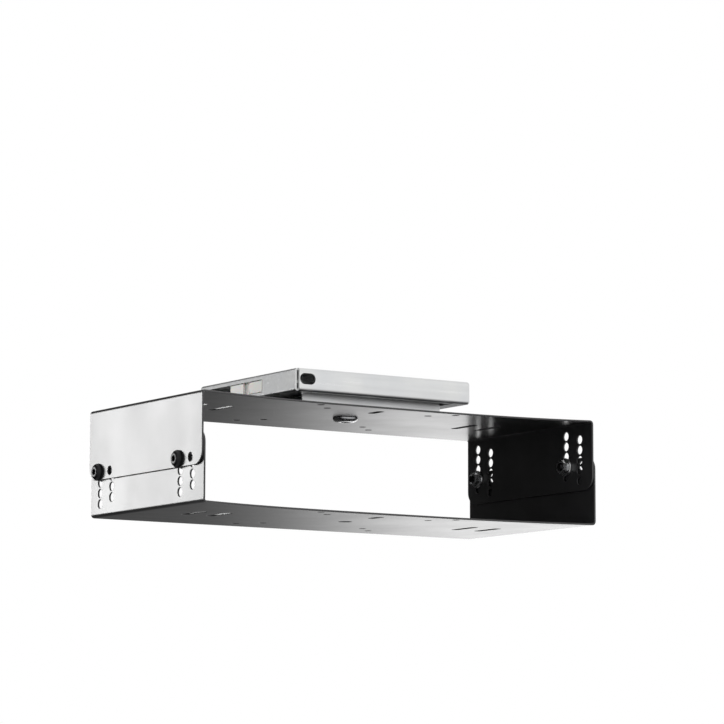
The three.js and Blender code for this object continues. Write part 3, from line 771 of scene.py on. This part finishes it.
nylon = moulded_nylon()
for side, name in ((-1, "left"), (1, "right")):
    low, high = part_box(f"glide_{name}")
    outer = -glide_low.x
    body_top, body_bottom = high.z, low.z
    nib_top = -window_top_margin - nib_play
    nib_bottom = -window_top_margin - window_height + nib_play
    across = np.array([-glide_high.x, groove_floor + running_gap, outer - nib_depth, outer])
    along = np.array([low.y, low.y + nib_gap_start, low.y + nib_gap_end, high.y])
    upright = np.array([body_bottom, nib_bottom, plate_low.z, plate_high.z, nib_top, body_top])
    filled = np.zeros((3, 3, 5), bool)
    filled[:2] = True
    filled[0, :, 2] = False
    filled[2][np.ix_([0, 2], [1, 2, 3])] = True
    if side < 0:
        across, filled = -across[::-1], filled[::-1]
    points, faces = block_surface((across, along, upright), filled)
    glide = add_piece(f"{name}_nylon_glide", points, faces, nylon, "carriage",
                      [f"glide_{name}"])
    rounding = glide.modifiers.new("rounded edges", "BEVEL")
    rounding.width = glide_round
    rounding.segments = 3
    rounding.harden_normals = True

# Hanger
# A channel of plated steel sheet under the slide plate. Its two walls go down from riveted flanges to
# the web that the cradle turns on.
hanger_bend = 2.3 * mm
hanger_edge = 0.2 * mm
hanger_corner = 1.2 * mm
hanger_path = BentPath([
    (hanger_high.y - hanger_flange, hanger_high.z), (hanger_high.y, hanger_high.z),
    (hanger_high.y, hanger_low.z), (hanger_low.y, hanger_low.z), (hanger_low.y, hanger_high.z),
    (hanger_low.y + hanger_flange, hanger_high.z),
], hanger_bend)
corners = [(hanger_low.x, 0), (hanger_high.x, 0), (hanger_high.x, hanger_path.length),
           (hanger_low.x, hanger_path.length)]
holes = []
for _, side_y, x, y in rivet_places():
    run, distance = (4, y - hanger_low.y) if side_y < 0 else (0, y - hanger_high.y + hanger_flange)
    holes.append(round_hole(x, hanger_path.at(run, distance), rivet_shank))
holes.append(round_hole(0, hanger_path.at(2, hanger_high.y - cradle_y), pivot_hole))
points, normals, faces = sheet_surface([rounded(corners, hanger_corner), *holes], hanger_sheet, hanger_edge,
                                       along=hanger_path)
add_piece("folded_hanger", points, faces, bright_zinc, "carriage", ["hanger_channel"], normals)

# Rivets
# Four plated steel rivets: a domed head on the slide plate and a pressed tail under each flange.
rivet_head = 8 * mm
rivet_head_height = 1.4 * mm
rivet_tail = 6.4 * mm
rivet_tail_height = 1 * mm
rivet_edge = 0.25 * mm
rivet_crown = 1 * mm
rivet_dimple = 2 * mm
rivet_dimple_share = 0.8
rivet_seat = hanger_sheet + plate_high.z - plate_low.z
rivet_rows = [
    (rivet_dimple / 2, -rivet_tail_height * rivet_dimple_share), (rivet_shank / 2, -rivet_tail_height),
    (rivet_tail / 2 - rivet_edge * 2, -rivet_tail_height), (rivet_tail / 2, -rivet_tail_height / 2),
    (rivet_tail / 2 - rivet_edge, 0), (rivet_shank / 2, 0),
    (rivet_shank / 2, rivet_seat), (rivet_head / 2 - rivet_edge, rivet_seat),
]
rivet_dome = dome(rivet_head / 2, rivet_crown / 2, rivet_edge / 2, rivet_head_height)
rivet_rows += [(radius, rivet_seat + height) for radius, height in rivet_dome]
rivet_points, rivet_faces = carried_round(rivet_rows)
for side_x, side_y, x, y in rivet_places():
    side, end = "left" if side_x < 0 else "right", "front" if side_y < 0 else "rear"
    placed = rivet_points + (x, y, plate_low.z - hanger_sheet)
    add_piece(f"{side}_{end}_rivet", placed, rivet_faces, plated, "carriage",
              [f"hanger_rivet_{side}_{end}"])

# Pivot
# An M8 bolt with a low domed head comes up through the cradle's plate, a large nylon washer and the
# hanger's web, and a steel washer and a lock nut with a nylon ring hold it.
bolt_thread = 8 * mm
bolt_pitch = 1.25 * mm
bolt_crown = 8 * mm
bolt_socket = 5 * mm
bolt_socket_rim = 6.2 * mm
bolt_socket_depth = 1.8 * mm
bolt_plain = 4 * mm
bolt_tip = 0.8 * mm
thread_play = 0.06 * mm
lock_nut_flats = 13 * mm
lock_nut_chamfer = 0.8 * mm
lock_collar = 11.4 * mm
lock_collar_height = 1.3 * mm
lock_ring = 9.6 * mm
washer_edge = 0.25 * mm
bolt_low, bolt_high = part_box("pivot_bolt")
lock_low, lock_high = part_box("pivot_lock_nut")
seat = upper_high.z - channel_sheet
bolt_rows = [(radius, -height) for radius, height in
             socket(bolt_socket, bolt_socket_rim, seat - bolt_low.z, bolt_socket_depth)[::-1]]
head_radius = bolt_high.x
bolt_rows += [(radius, -height) for radius, height in
              dome(head_radius, bolt_crown / 2, screw_edge, seat - bolt_low.z)[::-1]]
bolt_rows += [(head_radius - screw_edge, 0), (bolt_thread / 2, 0), (bolt_thread / 2, bolt_plain)]
bolt_top = bolt_high.z - seat
bolt_rows += [(np.minimum(radius, bolt_thread / 2 - bolt_tip + bolt_top - height), height)
              for radius, height in threaded(bolt_thread, bolt_pitch, bolt_plain + bolt_pitch / 2, bolt_top)]
points, faces = carried_round(bolt_rows)
add_piece("domed_pivot_bolt", points + (0, cradle_y, seat), faces, plated, "carriage",
          ["pivot_bolt"])

lock_corner = hexagon(lock_nut_flats)
lock_face = lock_nut_flats / 2 - lock_nut_chamfer / 2
lock_height = lock_high.z - lock_low.z
lock_bore = bolt_thread / 2 + thread_play
shoulder = lock_height - lock_collar_height
lock_rows = [
    (lock_bore, lock_nut_chamfer), (lock_bore + lock_nut_chamfer, 0), (lock_face, 0),
    (lock_corner, (lock_corner - lock_face) * np.tan(np.pi / 6)),
    (lock_corner, shoulder - (lock_corner - lock_face) * np.tan(np.pi / 6)), (lock_face, shoulder),
    (lock_collar / 2, shoulder), (lock_collar / 2, lock_height - washer_edge * 2),
    (lock_collar / 2 - washer_edge * 2, lock_height), (lock_ring / 2, lock_height),
    (lock_ring / 2, lock_height - lock_collar_height), (lock_bore, lock_height - lock_collar_height),
]
points, faces = carried_round(lock_rows, closed=True)
add_piece("lock_nut", points + (0, cradle_y, lock_low.z), faces, plated, "carriage",
          ["pivot_lock_nut"])
ring_rows = [
    (lock_bore, 0), (lock_ring / 2, 0), (lock_ring / 2, lock_collar_height - washer_edge * 2),
    (lock_ring / 2 - washer_edge, lock_collar_height - washer_edge),
    (lock_bore, lock_collar_height - washer_edge),
]
points, faces = carried_round(ring_rows, closed=True)
add_piece("lock_nut_ring", points + (0, cradle_y, lock_low.z + shoulder), faces, nylon, "carriage")

for name, node, finish, slot in (("steel_washer", "pivot_washer", plated, "zinc_screw"),
                                 ("nylon_thrust_washer", "thrust_washer", nylon, "white_nylon")):
    low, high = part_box(node)
    loops = [round_hole(0, cradle_y, diameter, round_sides) for diameter in (high.x - low.x, pivot_hole)]
    points, normals, faces = sheet_surface(loops, high.z - low.z, washer_edge)
    add_piece(name, points + (0, 0, high.z), faces, finish, "carriage", [node], normals)

# Lights and surroundings
# A pale floor far below, a white background and soft lamps. A screen behind the holder, which only
# reflections show, is dark at the left and bright at the right, for the black gloss to mirror.
bpy.context.scene.view_settings.view_transform = "Standard"
floor_drop = 0.75
floor_half = 20.0
holder_middle = (cad_box[0] + cad_box[1]) / 2
screen_radius = 1.0
screen_steps = 48
screen_left, screen_right = np.radians([-80, 60])
screen_height = np.radians(40)
screen_turns = np.radians([0, 26, 29.5, 34, 37, 40])
screen_tones = 0.03, 0.12, 0.32, 1.0, 1.55, 1.72


def show_to_reflections_only(thing):
    """Hides a thing from every kind of ray but glossy ones."""
    for rays in ("camera", "diffuse", "transmission", "volume_scatter", "shadow"):
        setattr(thing, f"visible_{rays}", False)


def surroundings(name, points, faces, place=(0, 0, 0)):
    """A mesh object that belongs to the studio and not to the holder."""
    mesh = bpy.data.meshes.new(name)
    mesh.from_pydata(points, [], faces)
    thing = bpy.data.objects.new(name, mesh)
    thing.location = place
    bpy.context.scene.collection.objects.link(thing)
    return thing


corners = np.array([(-1, -1), (1, -1), (1, 1), (-1, 1)]) * floor_half
floor = surroundings("floor", [(x, y, -floor_drop) for x, y in corners], [(0, 1, 2, 3)])
tree, shader, material = new_material("pale_floor", Base_Color=(0.85, 0.85, 0.85, 1), Roughness=0.9)
floor.data.materials.append(material)


def mirrored_screen():
    """Part of a sphere about the holder, radius * (cos(height) * sin(turn), cos(height) * cos(turn),
    sin(height)), whose tone goes with the turn, arctan(x / y). Its bright part stays below the
    horizon, where only undersides mirror it."""
    turn = np.linspace(screen_left, screen_right, screen_steps)
    height = np.linspace(-screen_height, screen_height, screen_steps)
    kept = (height[:-1, None] < 0) | (turn[:-1] < screen_turns[1])
    turn, height = (grid.ravel() for grid in np.meshgrid(turn, height))
    points = screen_radius * np.stack([np.cos(height) * np.sin(turn), np.cos(height) * np.cos(turn),
                                       np.sin(height)], 1)
    index = np.arange(screen_steps ** 2).reshape(screen_steps, screen_steps)
    faces = np.stack([index[:-1, :-1], index[1:, :-1], index[1:, 1:], index[:-1, 1:]], -1)[kept]
    screen = surroundings("mirrored_screen", points.tolist(), faces.tolist(), holder_middle)
    show_to_reflections_only(screen)
    material = bpy.data.materials.new("mirrored_screen")
    material.use_nodes = True
    tree = material.node_tree
    tree.nodes.clear()
    place = tree.nodes.new("ShaderNodeTexCoord")
    parts = tree.nodes.new("ShaderNodeSeparateXYZ")
    angle = tree.nodes.new("ShaderNodeMath")
    angle.operation = "ARCTAN2"
    share = tree.nodes.new("ShaderNodeMapRange")
    share.inputs["From Min"].default_value = screen_left
    share.inputs["From Max"].default_value = screen_right
    tones = tree.nodes.new("ShaderNodeValToRGB")
    stops = tones.color_ramp.elements
    stops.remove(stops[1])
    brightest = max(screen_tones)
    for i, (stop_turn, tone) in enumerate(zip(screen_turns, screen_tones)):
        position = (stop_turn - screen_left) / (screen_right - screen_left)
        stop = stops.new(position) if i else stops[0]
        stop.position = position
        stop.color = (tone / brightest, tone / brightest, tone / brightest, 1)
    glow = tree.nodes.new("ShaderNodeEmission")
    glow.inputs["Strength"].default_value = brightest
    output = tree.nodes.new("ShaderNodeOutputMaterial")
    tree.links.new(place.outputs["Object"], parts.inputs["Vector"])
    tree.links.new(parts.outputs["X"], angle.inputs[0])
    tree.links.new(parts.outputs["Y"], angle.inputs[1])
    tree.links.new(angle.outputs["Value"], share.inputs["Value"])
    tree.links.new(share.outputs["Result"], tones.inputs["Fac"])
    tree.links.new(tones.outputs["Color"], glow.inputs["Color"])
    tree.links.new(glow.outputs["Emission"], output.inputs["Surface"])
    screen.data.materials.append(material)


mirrored_screen()

around_tone = 0.7
world = bpy.data.worlds.new("studio")
bpy.context.scene.world = world
world.use_nodes = True
nodes, links = world.node_tree.nodes, world.node_tree.links
around = nodes["Background"]
around.inputs["Color"].default_value = (around_tone, around_tone, around_tone, 1)
seen = nodes.new("ShaderNodeBackground")
seen.inputs["Color"].default_value = (1, 1, 1, 1)
ray = nodes.new("ShaderNodeLightPath")
chosen = nodes.new("ShaderNodeMixShader")
seen_or_mirrored = nodes.new("ShaderNodeMath")
seen_or_mirrored.operation = "MAXIMUM"
shown_white = nodes.new("ShaderNodeMath")
shown_white.operation = "MAXIMUM"
links.new(ray.outputs["Is Camera Ray"], seen_or_mirrored.inputs[0])
links.new(ray.outputs["Is Glossy Ray"], seen_or_mirrored.inputs[1])
links.new(seen_or_mirrored.outputs["Value"], shown_white.inputs[0])
links.new(ray.outputs["Is Transmission Ray"], shown_white.inputs[1])
links.new(shown_white.outputs["Value"], chosen.inputs["Fac"])
links.new(around.outputs["Background"], chosen.inputs[1])
links.new(seen.outputs["Background"], chosen.inputs[2])
links.new(chosen.outputs["Shader"], nodes["World Output"].inputs["Surface"])


def soft_lamp(name, place, target, size, radiance, lights=None, spread=np.pi):
    """A rectangular area lamp that faces its target. With the sides a and b, the power p and half its
    spread h, its radiance along its axis is p / (pi * a * b * (1 - h / tan(h))). It lights everything,
    or only the pieces named."""
    data = bpy.data.lights.new(name, "AREA")
    data.shape = "RECTANGLE"
    data.size, data.size_y = size
    data.spread = spread
    data.energy = radiance * np.pi * size[0] * size[1] * (1 - spread / 2 / np.tan(spread / 2))
    lamp = bpy.data.objects.new(name, data)
    bpy.context.scene.collection.objects.link(lamp)
    aim = Vector(target) - Vector(place)
    lamp.matrix_world = Matrix.Translation(place) @ aim.to_track_quat("-Z", "Y").to_matrix().to_4x4()
    lamp.visible_camera = False
    if lights:
        group = bpy.data.collections.new(name)
        for piece in lights:
            group.objects.link(bpy.data.objects[piece])
        lamp.light_linking.receiver_collection = group
    return lamp


black_pieces = ["upper_cradle_channel", "lower_cradle_channel"]
black_pieces += [f"{side}_{end}_clamp_screw" for side, _, end, _ in screw_spots]
flank_middle = Vector((-half_width, cradle_y, cradle_middle))
flank_view = (flank_middle - camera_place).normalized()
mirrored_view = Vector((-flank_view.x, flank_view.y, flank_view.z))
strip_distance = 0.36
flank_strip_size = 0.17, 0.30
flank_strip_spread = np.radians(28)
flank_strip_radiance = 14.0
flank_strip_place = flank_middle + mirrored_view * strip_distance
soft_lamp("flank_strip", flank_strip_place, flank_middle, flank_strip_size, flank_strip_radiance,
          black_pieces, flank_strip_spread)
wall_middle = Vector((housing_low.x, housing_low.y, housing_low.z / 2))
mount_strip_place = wall_middle + mirrored_view * strip_distance
mount_strip_size = 0.16, 0.30
mount_strip_radiance = 0.9
soft_lamp("mount_strip", mount_strip_place, wall_middle, mount_strip_size, mount_strip_radiance,
          ["folded_mount_housing", "left_nylon_glide", "folded_hanger"])
glide_lamp_radiance = 2.0
soft_lamp("glide_lamp", mount_strip_place, wall_middle, mount_strip_size, glide_lamp_radiance,
          ["left_nylon_glide"])
front_lamp_place = Vector((1.2, -1.9, 0.4))
front_lamp_size = 1.4, 1.4
front_lamp_radiance = 0.15
soft_lamp("front_right_lamp", front_lamp_place, holder_middle, front_lamp_size, front_lamp_radiance)
